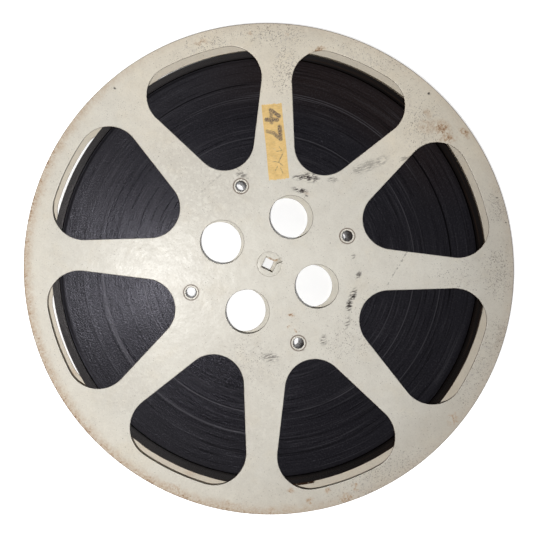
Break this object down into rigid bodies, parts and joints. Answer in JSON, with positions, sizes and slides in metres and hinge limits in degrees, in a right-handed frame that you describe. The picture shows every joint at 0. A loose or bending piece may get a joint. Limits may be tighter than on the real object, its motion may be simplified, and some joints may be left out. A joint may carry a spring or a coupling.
{
  "type": "cine film reel",
  "caption": "Flat cine film reel: pressed steel flanges with rounded windows and finger holes, riveted to a hub and wound with dark film, with a keyed square spindle hole and a free film end.",
  "frame": {"origin": "on the spindle axis, in the plane of the rear rivet rims that the reel lies on", "axes": "+Z along the spindle axis towards the front face, +X and +Y through finger holes, the spindle hole's key corner halfway between +X and +Y"},
  "size_m": [0.311, 0.311, 0.02],
  "materials": {
    "flange_paint": "satin, worn",
    "rivet_metal": "painted rim, dull bare bore",
    "film": "satin wound edges",
    "leader": "satin",
    "tape": "crepe"
  },
  "bodies": {
    "reel": {"front_flange": "flange_paint", "rear_flange": "flange_paint", "core_drum": "flange_paint", "rivet_1": "rivet_metal", "rivet_2": "rivet_metal", "rivet_3": "rivet_metal", "rivet_4": "rivet_metal", "front_spindle_bush": "flange_paint", "rear_spindle_bush": "flange_paint", "film_roll": "film", "leader_winding": "leader", "film_head": "film", "tape_label": "tape"},
    "tail": {"film_tail": "leader"}
  },
  "joints": [
    {"name": "film_tail_lift", "type": "hinge", "parent": "reel", "child": "tail", "pos_m": [0.04727, -0.12987, 0.01], "axis": [0, 0, -1], "range_deg": [0, 45], "stiffness_Nm_per_rad": 0.002}
  ]
}
